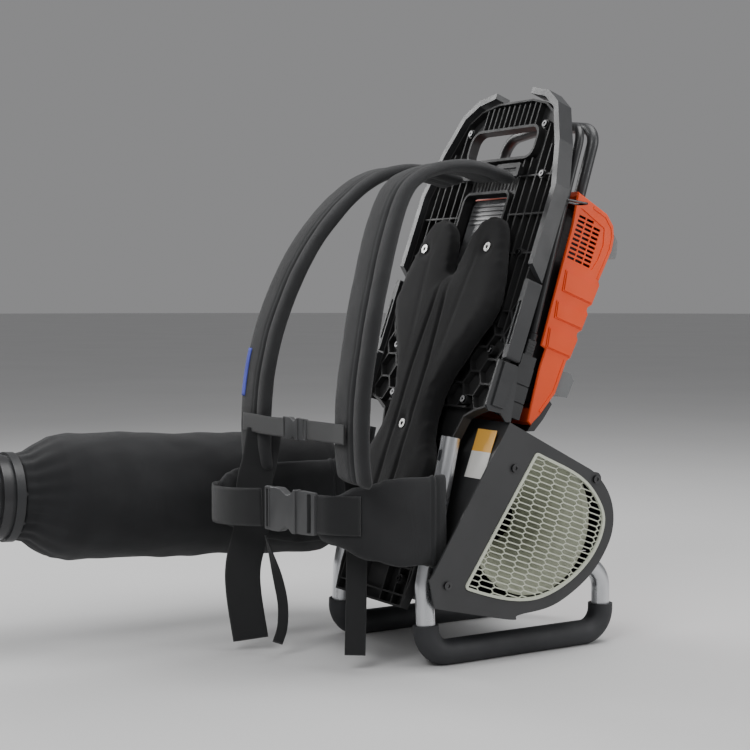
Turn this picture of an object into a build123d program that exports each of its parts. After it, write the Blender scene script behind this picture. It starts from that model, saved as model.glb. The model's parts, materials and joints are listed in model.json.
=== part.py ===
from build123d import *
import os
from math import sin, cos, radians, pi, sqrt

# Backpack blower with a battery pack, a side fan housing, a tube stand, a padded harness and a
# flexible hose with a controlled blow pipe.  Millimetres.  +X is the side of the air intake,
# -Y is the direction the operator faces, +Z is up.  The part stands on z = 0.

# ---- driving dimensions ----
LEAN = 20.0               # backward lean of the carrying frame, degrees
FLOOR = 30.0              # height of the ground in the layout frame
ORIGIN_X = -87.75         # middle of the footprint in the layout frame
ORIGIN_Y = -396.6
FRAME_T = 13.0            # depth of the ribbed frame
RIB = 2.4                 # rib thickness
FRAME_HALF_W = 145.0
TUBE_R = 12.5             # stand tube
TUBE_WALL = 1.6
SLEEVE_R = 17.0           # rubber sleeve round the runner
RUNNER_Z = FLOOR + 16.0
FAN_Y = 205.0             # fan, motor and elbow share this axis
FAN_Z = 212.0
SHELL = 3.0               # housing wall
SIDE_X = 150.0            # outer face of the intake side
SPLIT_X = 20.0            # housing parting plane
BACK_X = -118.0           # outer face of the outlet side
FAN_R = 84.0
SHAFT_R = 5.0
RUN = 0.05                # radial clearance of a running fit
ELBOW_R = 57.0            # outlet elbow, outside radius
ELBOW_BEND = 108.0
HOSE_X = -245.0           # hose centre line
HOSE_RISE = 3.0           # upward tilt of the hose at rest, degrees
BALL_R = 70.0             # ball of the elbow's yaw joint
BALL_Y = -149.0           # ball centre, measured forward from the fan axis
COVER_X = 120.0           # half width of the battery cover
WEB = 50.0                # hip webbing width
CHEST_WEB = 25.0

os.makedirs("parts", exist_ok=True)
NODES = {}


def lean(shape):
    """From frame coordinates (across, depth, along the frame) to the layout frame."""
    return Rotation(-LEAN, 0, 0) * shape


def leaned(x, d, h):
    a = radians(LEAN)
    return (x, d * cos(a) + h * sin(a), -d * sin(a) + h * cos(a))


def add(name, *shapes):
    """Stores one named piece, moved from the layout frame to the row frame."""
    move = Location((-ORIGIN_X, -ORIGIN_Y, -FLOOR))
    solids = []
    for shape in shapes:
        for solid in shape.solids():
            solids.append(move * solid)
    NODES[name] = solids


def outline(points):
    return make_face(Polyline(*points, close=True))


def slab(face, d0, d1):
    """Extrudes an across/along face from depth d0 to d1."""
    plane = Plane(origin=(0, d0, 0), x_dir=(1, 0, 0), z_dir=(0, -1, 0))
    return extrude(plane * face, amount=d1 - d0, dir=(0, 1, 0))


def prism_x(face, x0, x1):
    """Extrudes a face drawn in depth/height from x0 to x1."""
    return extrude(Plane.YZ.offset(x0) * face, amount=x1 - x0, dir=(1, 0, 0))


def block(x0, x1, y0, y1, z0, z1):
    box = Box(x1 - x0, y1 - y0, z1 - z0)
    return Pos((x0 + x1) / 2, (y0 + y1) / 2, (z0 + z1) / 2) * box


def bar(p, q, r):
    """Round bar from p to q."""
    v = Vector(*q) - Vector(*p)
    plane = Plane(origin=p, z_dir=v)
    return extrude(plane * Circle(r), amount=v.length)


def rounded(w, h, r, cx=0.0, cy=0.0):
    return Pos(cx, cy) * RectangleRounded(w, h, r)


def mirror_x(shape):
    return mirror(shape, about=Plane.YZ)


def swept_tube(path, r, r_in=0.0):
    start = Plane(origin=path @ 0, z_dir=path % 0)
    tube = sweep(start * Circle(r), path=path)
    if r_in > 0:
        tube = tube - sweep(start * Circle(r_in), path=path)
    return tube


def ribbon(points, width, thick, across):
    """Flat band through points; across gives the width direction at every point."""
    faces = []
    last = len(points) - 1
    for i, p in enumerate(points):
        a = Vector(*points[max(i - 1, 0)])
        b = Vector(*points[min(i + 1, last)])
        faces.append(Plane(origin=p, x_dir=across[i], z_dir=b - a) * Rectangle(width, thick))
    return loft(faces)


def ring_y(r_out, r_in, y0, y1):
    """Ring about the hose axis, between two stations of the hose frame."""
    plane = Plane(origin=(0, y0, 0), x_dir=(1, 0, 0), z_dir=(0, -1, 0))
    body = extrude(plane * Circle(r_out), amount=y0 - y1)
    if r_in > 0:
        body = body - extrude(plane * Circle(r_in), amount=y0 - y1)
    return body


def turned_y(profile):
    """Turns a closed radius/station outline about the hose axis."""
    face = make_face(Polyline(*[(r, y, 0) for r, y in profile], close=True))
    return revolve(face, axis=Axis.Y)


def hose_frame(shape):
    """Hose coordinates start at the fan axis; the whole outlet is pitched up a little."""
    return Location((0, FAN_Y, FAN_Z), (-HOSE_RISE, 0, 0)) * shape


# ---- stand: two bent tubes with rubber sleeves ----
def stand_points(side):
    top = leaned(103, -14, 342)
    return [
        (side * top[0], top[1], top[2]),
        (side * 103.5, 62, 134),
        (side * 110, 62, RUNNER_Z),
        (side * 110, 352, RUNNER_Z),
        (side * 110, 352, 124),
        (side * 110, 312, 152),
    ]


HOUSING_CURVE = [
    (298, 278), (318, 262), (334, 239), (341, 208), (337, 184),
    (326, 163), (303, 136), (262, 109), (218, 95), (176, 90), (139, 93),
]


def grown(points, amount):
    """Moves every corner of a closed outline outward along its mitre."""
    n = len(points)
    area = sum(
        points[i][0] * points[(i + 1) % n][1] - points[(i + 1) % n][0] * points[i][1]
        for i in range(n)
    )
    turn = 1.0 if area > 0 else -1.0
    out = []
    for i in range(n):
        p, q, r = points[i - 1], points[i], points[(i + 1) % n]
        a = sqrt((q[0] - p[0]) ** 2 + (q[1] - p[1]) ** 2)
        b = sqrt((r[0] - q[0]) ** 2 + (r[1] - q[1]) ** 2)
        n1 = ((q[1] - p[1]) / a * turn, -(q[0] - p[0]) / a * turn)
        n2 = ((r[1] - q[1]) / b * turn, -(r[0] - q[0]) / b * turn)
        k = amount / (1.0 + n1[0] * n2[0] + n1[1] * n2[1])
        out.append((q[0] + (n1[0] + n2[0]) * k, q[1] + (n1[1] + n2[1]) * k))
    return out


HOUSING_CORNERS = [(48, 114), (40, 150), (165, 346)]


def housing_face(grow=0.0):
    """Side outline of the fan housing."""
    pts = grown(HOUSING_CURVE + HOUSING_CORNERS, grow)
    n = len(HOUSING_CURVE)
    curve = Spline(*pts[:n], tangents=[(0.89, -0.456), (-0.974, 0.225)])
    straight = Polyline(pts[n - 1], *pts[n:], pts[0])
    return Sketch() + make_face([*curve.edges(), *straight.edges()])


def core_cut(clear):
    """Everything in front of the housing core's front wall."""
    front = lean(block(-300, 300, -300, 26 + clear, -200, 900))
    low = block(-300, 300, -300, 80 + clear, -200, 400)
    return front + low


def make_stand():
    sleeves = []
    cutter = prism_x(housing_face(0.6), -200, 200) - core_cut(-0.6)
    for side, tag in ((1, "left"), (-1, "right")):
        pts = stand_points(side)
        path = FilletPolyline(*pts, radius=32)
        tube = swept_tube(path, TUBE_R, TUBE_R - TUBE_WALL) - cutter
        slot = lean(block(side * 103 - 3.4, side * 103 + 3.4, -35, -11, 308, 322))
        add("stand_tube_" + tag, (tube - slot).solids().sort_by(SortBy.VOLUME)[-1])
        low = FilletPolyline(
            (side * 107.19, 62, 84), pts[2], pts[3], (side * 110, 352, 84), radius=32
        )
        sleeve = swept_tube(low, SLEEVE_R, TUBE_R + 0.1)
        sleeve = sleeve - block(-300, 300, -100, 500, FLOOR - 20, FLOOR)
        sleeves.append(sleeve)
    add("stand_sleeves", *sleeves)


def stand_clearance():
    cut = None
    for side in (1, -1):
        path = FilletPolyline(*stand_points(side), radius=32)
        tube = swept_tube(path, TUBE_R + 0.5)
        cut = tube if cut is None else cut + tube
    return cut


# ---- carrying frame ----
def frame_outline():
    right = [
        (82, 112), (88.5, 150), (88.5, 345), (98, 374), (118, 384), (FRAME_HALF_W, 392),
        (FRAME_HALF_W, 690), (125, 753), (99, 807), (74, 824), (40, 832),
    ]
    left = [(-x, h) for x, h in reversed(right)]
    return outline(right + left)


def hexagons():
    """Honeycomb ribs in the lower corners of the frame."""
    cells = Sketch()
    pitch = 34.0
    for row in range(4):
        for col in range(4):
            x = 62 + col * pitch * 0.87
            h = 404 + row * pitch + (pitch / 2 if col % 2 else 0)
            cell = RegularPolygon(pitch * 0.577, 6, rotation=0)
            hole = RegularPolygon(pitch * 0.577 - 1.6, 6, rotation=0)
            cells = cells + Pos(x, h) * (cell - hole)
    return cells


def frame_ribs():
    ribs = Sketch()
    for i in range(-5, 6):
        x = i * 12.0
        ribs = ribs + Pos(x, 806) * Rectangle(RIB, 40)
    for side in (1, -1):
        for x, h0, h1 in ((62, 574, 742), (78, 540, 742), (96, 520, 790), (112, 500, 760), (128, 480, 730)):
            ribs = ribs + Pos(side * x, (h0 + h1) / 2) * Rectangle(RIB, h1 - h0)
        for h in (604, 660, 716):
            ribs = ribs + Pos(side * 102, h) * Rectangle(86, RIB)
        for x in (28, 56, 80):
            ribs = ribs + Pos(side * x, 190) * Rectangle(RIB, 230)
    for h in (128, 164, 216, 270, 340, 388):
        ribs = ribs + Pos(0, h) * Rectangle(188, RIB)
    cells = hexagons()
    return ribs + cells + mirror(cells, about=Plane.YZ)


def make_frame():
    face = frame_outline()
    inner = offset(face, amount=-3.0, kind=Kind.INTERSECTION)
    hand = rounded(150, 43, 15, 0, 766.5)
    window = rounded(100, 116, 10, 0, 634)
    comb = Sketch()
    for i in range(-7, 8):
        comb = comb + rounded(4.2, 22, 1.9, i * 8.0, 710)
    lower = rounded(60, 56, 10, 0, 470) + rounded(60, 110, 10, 0, 285)
    sheet = slab(face - hand - window - comb - lower, FRAME_T - 3, FRAME_T)
    wall = slab(face - inner, 0, FRAME_T - 3)
    ribs = slab((frame_ribs() & inner) - offset(hand, 4) - offset(window, 4) - comb - lower,
                1.0, FRAME_T - 3)
    rims = slab((offset(hand, 4) - hand) + (offset(window, 4) - window), -1.5, FRAME_T - 3)
    bosses = Sketch()
    for x, h in FRAME_SCREWS:
        bosses = bosses + Pos(x, h) * Circle(6.5)
    posts = slab(bosses, 0.0, FRAME_T - 3)
    frame = sheet + wall + ribs + rims + posts
    for x, h in PAD_BOLTS:
        frame = frame - slab(Pos(x, h) * Circle(4.3), -5, 20)
    for x, h in FRAME_SCREWS:
        frame = frame - slab(Pos(x, h) * Circle(2.2), -5, 20)
    frame = lean(frame) - stand_clearance()
    add("back_frame", frame.solids().sort_by(SortBy.VOLUME)[-1])


PAD_BOLTS = [(75, 603), (-75, 603), (0, 350)]
FRAME_SCREWS = [
    (86, 790), (-86, 790), (-95, 716), (112, 716), (112, 604), (-112, 604),
    (112, 468), (-112, 468), (86, 398), (-86, 398), (62, 148), (-62, 148),
]


def make_screws():
    screws = []
    for x, h in FRAME_SCREWS:
        head = slab(Pos(x, h) * (Circle(4.6) - Circle(1.8)), -2.6, -0.3)
        base = slab(Pos(x, h) * Circle(4.6), -0.6, -0.05)
        shank = slab(Pos(x, h) * Circle(1.9), -0.3, 17)
        screws.append(lean(head + base + shank))
    add("frame_screws", *screws)
    bolts = []
    for x, h in PAD_BOLTS:
        washer = slab(Pos(x, h) * (Circle(11) - Circle(4.2)), -22.5, -20.5)
        head = slab(Pos(x, h) * (Circle(6.5) - RegularPolygon(3.2, 6)), -27, -24.5)
        neck = slab(Pos(x, h) * Circle(6.5), -24.5, -22.5)
        shank = slab(Pos(x, h) * Circle(4.0), -22.6, 14)
        bolts.append(lean(washer + head + neck + shank))
    add("pad_bolts", *bolts)


def make_anchors():
    """Slotted brackets that take the tops of the shoulder straps."""
    out = []
    for x in (42, -42):
        plate = rounded(54, 20, 3, x, 722) - rounded(40, 6, 2, x, 722)
        body = slab(plate, -9, -5.5)
        legs = slab(rounded(5, 12, 1, x - 24, 722) + rounded(5, 12, 1, x + 24, 722), -6, -0.1)
        legs = legs & slab(Rectangle(400, 2000), -6, -0.1)
        out.append(lean(body + legs))
    add("strap_anchors", *out)


def rail_face():
    """Side rail seen from the front: straight up the side, then in over the shoulder."""
    outer = [
        (148.5, 566), (148.5, 694), (128.5, 757), (102.5, 811), (76, 829), (41, 837),
        (41, 846), (80, 838), (109, 818), (137, 762), (158, 697), (158, 566),
    ]
    return outline(outer)


def make_rails():
    grips = []
    panels = []
    for side, tag in ((1, "left"), (-1, "right")):
        body = slab(rail_face(), -7, 17)
        body = fillet(body.edges().filter_by(Axis.Y), 1.2)
        cut = outline([(-20, 560), (30, 560), (30, 578), (17, 566), (-8, 586), (-20, 600)])
        body = body - prism_x(cut, 100, 200)
        if side < 0:
            body = mirror_x(body)
        add("side_rail_" + tag, lean(body))
        grip = slab(rounded(10, 108, 3, 153.6, 511), -5, 18)
        grip = grip - slab(rounded(4, 60, 1.5, 153.6, 505), -6, -2)
        panel = prism_x(
            outline([(-8, 392), (-2, 386), (18, 388), (30, 380), (38, 382), (30, 430), (24, 454), (-8, 454)]),
            146.2, 149.4,
        )
        panel = panel + slab(rounded(4, 60, 1, 150.4, 424), 0, 18)
        if side < 0:
            grip = mirror_x(grip)
            panel = mirror_x(panel)
        grips.append(lean(grip))
        panels.append(lean(panel))
    add("side_grips", *grips)
    add("side_panels", *panels)


# ---- battery pack ----
COVER_SIDE = [
    (60, 714), (118, 704), (134, 693), (141, 678), (143, 660), (136, 613), (139.5, 608),
    (136, 579), (130.5, 573), (130.5, 569), (134, 564), (131.5, 541), (126, 535), (126, 531),
    (129.5, 526), (126, 499), (121, 493), (118, 446), (104, 412), (93, 393), (86, 396),
    (83, 430), (80, 470), (81, 497), (72, 499), (66, 667),
]


BLOCKS = [(579, 608), (541, 564), (499, 526)]   # raised grips on the cover's sides, along the lean


def make_cover():
    face = outline(COVER_SIDE)
    solid = prism_x(face, -COVER_X, COVER_X)
    for side in (0, -1):
        solid = chamfer(solid.faces().sort_by(Axis.X)[side].edges(), 1.5)
    hollow = prism_x(outline([
        (40, 711), (116, 699), (130, 689), (138.5, 668), (139.5, 660), (131.5, 613), (126.5, 573),
        (122, 533), (118.6, 495), (112, 446), (98, 414), (40, 414),
    ]), -COVER_X + 3, COVER_X - 3)
    shell = solid - hollow
    field = outline(grown(COVER_SIDE, -2.2))
    crown = outline(grown(COVER_SIDE, -3.6))
    rims = [
        outline([
            (92, 705.5), (117, 701.8), (132.5, 691.2), (139, 677.4), (140.8, 660), (134.4, 615),
            (130.8, 615), (137.2, 660), (135.6, 676.4), (130.2, 688.2), (116, 698.2), (92, 701.8),
        ]),
        outline([
            (118.8, 492.2), (115.8, 446.6), (102.2, 413.6), (98.8, 415.2), (112.3, 447.4),
            (115.2, 492.2),
        ]),
    ]
    pads = []
    for side in (1, -1):
        for low, high in BLOCKS:
            foot = outline([(80, low), (140, low), (140, high), (76, high)]) & field
            top = outline([(82, low + 1.4), (140, low + 1.4), (140, high - 1.4), (78, high - 1.4)]) & crown
            pads.append(prism_x(foot, side * (COVER_X - 1), side * (COVER_X + 1.2)))
            pads.append(prism_x(top, side * COVER_X, side * (COVER_X + 2.4)))
        for rim in rims:
            pads.append(prism_x(rim, side * (COVER_X - 1), side * (COVER_X + 0.9)))
    for pad in pads:
        shell = shell + pad
    panel = outline([(70, 616), (118, 622), (124, 640), (126, 662), (120, 684), (70, 696)])
    panel = fillet(panel.vertices(), 4)
    shell = shell - prism_x(panel, COVER_X - 1.2, COVER_X + 5)
    shell = shell - prism_x(panel, -COVER_X - 5, 1.2 - COVER_X)
    slots = []
    for row in range(10):
        h = 626 + row * 6.5
        for col in range(3):
            d = 79.5 + col * 14.4
            if h < 694 - (d - 66) * 0.26:
                slots.append(Pos(d, h) * Rectangle(12.4, 3.7))
    vents = prism_x(Sketch() + slots, -COVER_X - 5, COVER_X + 5)
    add("battery_cover", lean((shell - vents).solids().sort_by(SortBy.VOLUME)[-1]))


def make_battery():
    outer = prism_x(outline([(18, 424), (94, 424), (106, 452), (118, 500), (118, 692), (18, 692)]), -104, 104)
    inner = prism_x(outline([(21, 427), (92, 427), (103, 453), (115, 501), (115, 689), (21, 689)]), -101, 101)
    add("battery_case", lean(outer - inner))
    cells = []
    for layer in range(2):
        for row in range(3):
            for col in range(8):
                x = (col - 3.5) * 23.0
                d = 40 + row * 23.0
                cell = Pos(x, d, 470 + layer * 100) * extrude(Circle(10.5), amount=90)
                cells.append(lean(cell))
    add("battery_cells", *cells)
    board = block(-84, 84, 108, 110, 504, 670)
    chips = block(-60, -30, 110, 113.6, 520, 550) + block(20, 60, 110, 113.6, 560, 620)
    add("battery_board", lean(board + chips))
    front = slab(rounded(96, 110, 12, 0, 634), 14.2, 17.6)
    for i in range(5):
        front = front + slab(rounded(88, 3, 1, 0, 655 + i * 6.5), 12.4, 14.4)
    add("front_cover", lean(front))
    bumps = []
    for x in (-104, 104):
        for prof in (
            [(141.2, 682.5), (150, 676), (155, 657), (154, 652), (142.2, 651), (143.4, 660)],
            [(120.5, 478), (136, 480), (144, 472), (141, 447), (131, 445), (118.4, 446)],
        ):
            bumps.append(lean(prism_x(outline(prof), x - 13, x + 13)))
    add("rear_feet", *bumps)
    fairing = prism_x(
        outline([(97, 398), (106, 412), (115, 434), (120, 431), (113, 408), (104, 388), (93, 384)]),
        -COVER_X + 4, COVER_X - 4,
    )
    add("lower_fairing", lean(fairing))


def make_cable():
    """Connector column, plug, lead and wire bail on the intake side."""
    column = block(107, 128, 40, 66, 392, 462)
    column = column - block(126, 130, 38, 68, 412, 414) - block(126, 130, 38, 68, 436, 438)
    socket = block(109, 127, 42, 66, 462.3, 478) - block(112, 124, 46, 62, 466, 480)
    add("connector_socket", lean(column + block(109, 127, 42, 64, 461, 463) + socket))
    plug = fillet(block(112.3, 123.7, 46.3, 61.7, 467, 500).edges().filter_by(Axis.Z), 2)
    for i in range(4):
        plug = plug + block(111.6, 124.4, 48, 60, 482 + i * 4, 484 + i * 4)
    boot = Pos(118, 54, 500) * extrude(Circle(7.5), amount=9)
    add("cable_plug", lean(plug + boot))
    path = FilletPolyline(
        (118, 54, 510), (118, 46, 640), (112, 42, 806), (44, 58, 806), (44, 70, 715.5),
        radius=[90, 33, 33],
    )
    add("power_cable", lean(swept_tube(path, 6.0)))
    # curved carry bar from the battery's top corners
    arms = []
    for side in (1, -1):
        line = FilletPolyline(
            (side * 100, 78, 716.5), (side * 100, 74, 812), (0, 70, 824), radius=28
        )
        arms.append(swept_tube(line, 8.0))
    add("carry_handle", lean(arms[0] + arms[1]))


def make_clip():
    """Wire bail that swings on a boss and hooks round the lead."""
    r = 1.5
    pin = bar((139.5, 22.5, 686), (151.6, 22.5, 686), r)
    loop = FilletPolyline(
        (151.6, 22.5, 686), (151.6, 58, 694), (130.5, 58, 694), (130.5, 31, 688), radius=5
    )
    wire = swept_tube(loop, r)
    joint = Pos(151.6, 22.5, 686) * Sphere(r)
    add("wire_clip", lean(pin + wire + joint))
    hole = bar((130, 22.5, 686), (152, 22.5, 686), r + RUN)
    boss = bar((134, 22.5, 686), (148.2, 22.5, 686), 6.5) - hole
    foot = block(134, 144, 13.4, 22.5, 680, 692) - hole
    add("clip_boss", lean(boss + foot))


# ---- fan housing ----
GRILLE_EDGE = [
    (208, 306), (258, 283), (296, 259), (316, 234), (325, 210), (322, 190), (308, 164),
    (282, 139), (248, 120), (212, 110), (182, 110), (138, 119), (91, 135),
]


def grille_face(grow=0.0):
    pts = grown(GRILLE_EDGE, grow)
    curve = Spline(*pts)
    close = Line(pts[-1], pts[0])
    face = Sketch() + make_face([*curve.edges(), *close.edges()])
    return fillet(face.vertices(), 6 + grow)


def make_housing():
    lead = stand_clearance()
    outer = housing_face()
    inner = housing_face(-SHELL)
    left = prism_x(outer, SPLIT_X + 0.15, SIDE_X - 2) - core_cut(0)
    left = left - (prism_x(inner, SPLIT_X - 1, SIDE_X - SHELL) - core_cut(SHELL))
    plate = prism_x(housing_face(), SIDE_X - SHELL, SIDE_X)
    left = left + plate + bar((SIDE_X - 9, 309, 263), (SIDE_X, 309, 263), 9.5)
    left = left - prism_x(grille_face(), SIDE_X - 10, SIDE_X + 10)
    ledge = prism_x(grille_face(3) - grille_face(-3.5), SIDE_X - 5.6, SIDE_X - SHELL - 0.0)
    left = left + ledge
    left = left - lead
    for y, z in SIDE_SCREWS:
        left = left - bar((100, y, z), (160, y, z), 2.3)
    add("housing_left", left.solids().sort_by(SortBy.VOLUME)[-1])
    right = prism_x(outer, BACK_X, SPLIT_X - 0.15) - core_cut(0)
    right = right - (prism_x(inner, BACK_X + SHELL, SPLIT_X + 1) - core_cut(SHELL))
    spigot = bar((BACK_X - 14, FAN_Y, FAN_Z), (BACK_X + 1, FAN_Y, FAN_Z), ELBOW_R - 4.0)
    bore = bar((BACK_X - 30, FAN_Y, FAN_Z), (BACK_X + 10, FAN_Y, FAN_Z), ELBOW_R - 7.0)
    right = right + spigot - bore
    right = right - lead
    add("housing_right", right.solids().sort_by(SortBy.VOLUME)[-1])


SIDE_SCREWS = [(172, 286), (309, 263), (66, 142)]


def make_grille():
    rim = grille_face(-0.4) - grille_face(-4.2)
    field = grille_face(-2.0)
    a = radians(-LEAN)
    cell = Polygon(
        (12.9, 0), (9.7, 3.05), (-9.7, 3.05), (-12.9, 0), (-9.7, -3.05), (9.7, -3.05), align=None
    )
    holes = []
    for col in range(-6, 7):
        for row in range(-16, 17):
            u = col * 23.5
            v = row * 7.7 + (3.85 if col % 2 else 0.0)
            y = 205 + u * cos(a) - v * sin(a)
            z = 208 + u * sin(a) + v * cos(a)
            if field.distance_to(Vertex(y, z, 0)) < 13:
                holes.append(Pos(y, z) * (Rot(0, 0, -LEAN) * cell))
    mesh = field - holes
    plate = prism_x(mesh + rim, SIDE_X - 2.7, SIDE_X - 0.9)
    edge = prism_x(rim, SIDE_X - 2.7, SIDE_X + 1.6)
    add("intake_grille", (plate + edge).solids().sort_by(SortBy.VOLUME)[-1])


def turned_x(profile):
    """Turns an axial station/radius outline about the fan axis."""
    face = make_face(Polyline(*[(x, FAN_Y + r, FAN_Z) for x, r in profile], close=True))
    return revolve(face, axis=Axis((0, FAN_Y, FAN_Z), (1, 0, 0)))


def make_fan():
    bell = turned_x([
        (142, 97), (138, 90), (120, 74), (90, 56), (60, 45), (49, 42),
        (49, 39.5), (61, 42.5), (91, 53.5), (122, 72), (141, 90), (144, 97),
    ])
    keep = prism_x(housing_face(-SHELL - 0.4), 0, 145) - core_cut(SHELL + 0.4)
    add("inlet_bell", (bell & keep).solids().sort_by(SortBy.VOLUME)[-1])
    hub = turned_x([(9, SHAFT_R), (9, 14), (16, 14), (40, 11), (40, SHAFT_R)])
    disc = turned_x([(9, 13), (9, FAN_R), (11.5, FAN_R), (11.5, 13)])
    shroud = turned_x([(43, 44), (40.5, 62), (38, FAN_R), (40, FAN_R), (42.6, 62), (45, 44)])
    blades = None
    for i in range(9):
        arc = ThreePointArc((30, 0), (60, 12), (FAN_R - 0.5, 4))
        band = make_face([
            *arc.edges(),
            *Line((FAN_R - 0.5, 4), (FAN_R - 0.5, 6.4)).edges(),
            *ThreePointArc((FAN_R - 0.5, 6.4), (60, 14.6), (30, 2.6)).edges(),
            *Line((30, 2.6), (30, 0)).edges(),
        ])
        blade = prism_x(band, 11, 39.5)
        blade = Location((0, FAN_Y, FAN_Z), (i * 40, 0, 0)) * blade
        blades = blade if blades is None else blades + blade
    add("fan_rotor", (hub + disc + shroud + blades).solids().sort_by(SortBy.VOLUME)[-1])
    shaft = turned_x([(-62, 0.001), (-62, SHAFT_R - 0.01), (42, SHAFT_R - 0.01), (42, 0.001)])
    magnets = turned_x([(-48, 4.9), (-48, 16), (-14, 16), (-14, 4.9)])
    add("motor_shaft", shaft + magnets)
    stator = turned_x([
        (-68, 14.2), (-68, 36), (5, 36), (5, 14.2), (2.5, 14.2), (2.5, 33), (-12, 33),
        (-12, 16.6), (-50, 16.6), (-50, 33), (-65, 33), (-65, 14.2),
    ])
    add("motor_stator", stator)
    bearings = []
    for x0, x1 in ((-68, -58), (-5, 5)):
        bearings.append(turned_x([
            (x0, SHAFT_R + RUN), (x0, 14.1), (x1, 14.1), (x1, SHAFT_R + RUN),
        ]))
    add("motor_bearings", *bearings)
    hub_ring = turned_x([(-66, 36.1), (-66, 39.5), (-4, 39.5), (-4, 36.1)])
    duct = turned_x([(-114.8, 82), (-114.8, 85), (-4, 85), (-4, 82)])
    vanes = None
    for i in range(9):
        vane = block(-60, -14, -1.2, 1.2, 38.5, 83)
        vane = Location((0, FAN_Y, FAN_Z), (i * 40 + 10, 0, 0)) * vane
        vanes = vane if vanes is None else vanes + vane
    add("motor_mount", (hub_ring + duct + vanes).solids().sort_by(SortBy.VOLUME)[-1])
    add("speed_controller", block(-90, -10, 160, 204, 300.5, 312))
    screws = []
    for y, z in SIDE_SCREWS:
        head = bar((SIDE_X + 0.1, y, z), (SIDE_X + 3.2, y, z), 5.4)
        head = head - Pos(SIDE_X + 2, y, z) * (Rot(0, 90, 0) * extrude(RegularPolygon(2.8, 6), amount=6))
        screws.append(head + bar((SIDE_X - 5.4, y, z), (SIDE_X + 0.2, y, z), 2.1))
    add("housing_screws", *screws)
    plate = lean(block(102, 143, 24.8, 25.7, 300, 366))
    add("rating_plate", plate)


# ---- harness ----
STRAP_FRONT = [
    (48, 214, 676, 0), (60, 166, 688, 0), (66, 111, 689, 0), (71, 69, 677, 0), (75, 40, 655, 0),
    (81, 18, 612, 0), (92, -2, 572, 0), (102, -18, 530, 0), (112, -34, 488, 0), (118, -46, 440, 0),
    (121, -53, 392, 0), (121, -56, 345, 0), (120, -56, 298, 0),
]


def make_straps():
    for side, tag in ((1, "left"), (-1, "right")):
        pts = []
        for x, y, z, _ in STRAP_FRONT:
            drop = 0 if side > 0 else -10 * min(1.0, max(0.0, (650 - z) / 250))
            pts.append((side * x, y + drop, z - 9 if z > 660 else z))
        across = [(1, 0, 0)] * len(pts)
        strap = ribbon(pts, 64, 17, across)
        add("shoulder_strap_" + tag, strap)


def buckle_frame(shape, centre, turn):
    return Location(centre, (0, 0, turn)) * shape


HIP_BUCKLE = (25, -92, 235)
HIP_TURN = 12.0
CHEST_BUCKLE = (10, -76, 339)
CHEST_TURN = 5.0


def make_buckle(name, centre, turn, s, width, slide):
    """Side-release buckle: socket with a web bar, plug with two side tongues."""
    half = width / 2 + 3.5 * s
    thick = 6.2 * s
    body = block(-34 * s, 14 * s, -thick, thick, -half, half)
    body = fillet(body.edges().filter_by(Axis.Z), 2.2 * s)
    cavity = block(-22 * s, 15 * s, -thick + 2.2 * s, thick - 2.2 * s, -half + 3 * s, half - 3 * s)
    window = block(-14 * s, 4 * s, -thick + 2.2 * s, thick - 2.2 * s, half - 4 * s, half + 1)
    body = body - cavity - window - mirror(window, about=Plane.XY)
    frame = block(-48 * s, -33 * s, -3.2 * s, 3.2 * s, -half, half)
    frame = frame - block(-44.5 * s, -40.5 * s, -9, 9, -width / 2, width / 2)
    frame = frame - block(-37.5 * s, -33.8 * s, -9, 9, -width / 2, width / 2)
    add(name + "_socket", buckle_frame(body + frame, centre, turn))
    gap = 0.5
    tail = block(15 * s, 49 * s, -3.4 * s, 3.4 * s, -half + 2 * s, half - 2 * s)
    tail = fillet(tail.edges().filter_by(Axis.Y), 2.5 * s)
    tail = tail - block(35 * s, 43 * s, -9, 9, -width / 2, width / 2)
    depth = thick - 2.2 * s - gap
    tongue = outline([
        (18 * s, 6 * s), (18 * s, half - 5.5 * s), (0, half - 4.2 * s), (-10 * s, half - 3.4 * s),
        (-18 * s, half - 8 * s), (-18 * s, half - 11 * s), (2 * s, half - 10 * s), (6 * s, 6 * s),
    ])
    plane = Plane(origin=(0, depth, 0), x_dir=(1, 0, 0), z_dir=(0, -1, 0))
    up = extrude(plane * tongue, amount=2 * depth)
    plug = tail + up + mirror(up, about=Plane.XY)
    rib = block(-16 * s, 16 * s, -depth, depth, -1.6 * s, 1.6 * s)
    add(name + "_plug", buckle_frame(plug + rib, centre, turn))


def plan_band(points, thick, z0, z1, inward):
    """Upright band that follows a plan curve; thick grows towards the wearer."""
    n = len(points)
    inner = []
    for i in range(n):
        ax, ay = points[max(i - 1, 0)]
        bx, by = points[min(i + 1, n - 1)]
        length = sqrt((bx - ax) ** 2 + (by - ay) ** 2)
        nx, ny = -(by - ay) / length * inward, (bx - ax) / length * inward
        inner.append((points[i][0] + nx * thick, points[i][1] + ny * thick))
    out_edge = Spline(*points)
    in_edge = Spline(*reversed(inner))
    face = make_face([
        *out_edge.edges(), *Line(points[-1], inner[-1]).edges(),
        *in_edge.edges(), *Line(inner[0], points[0]).edges(),
    ])
    return Pos(0, 0, z0) * extrude(face, amount=z1 - z0)


NEAR_WING = [(130, 83), (132, 60), (131, 20), (125, -12), (116, -38), (103, -55), (90, -66), (74, -71), (58, -74)]
FAR_WING = [(-130, 83), (-132, 60), (-133, 20), (-133, -30), (-131, -80), (-127, -108), (-116, -128)]


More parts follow.
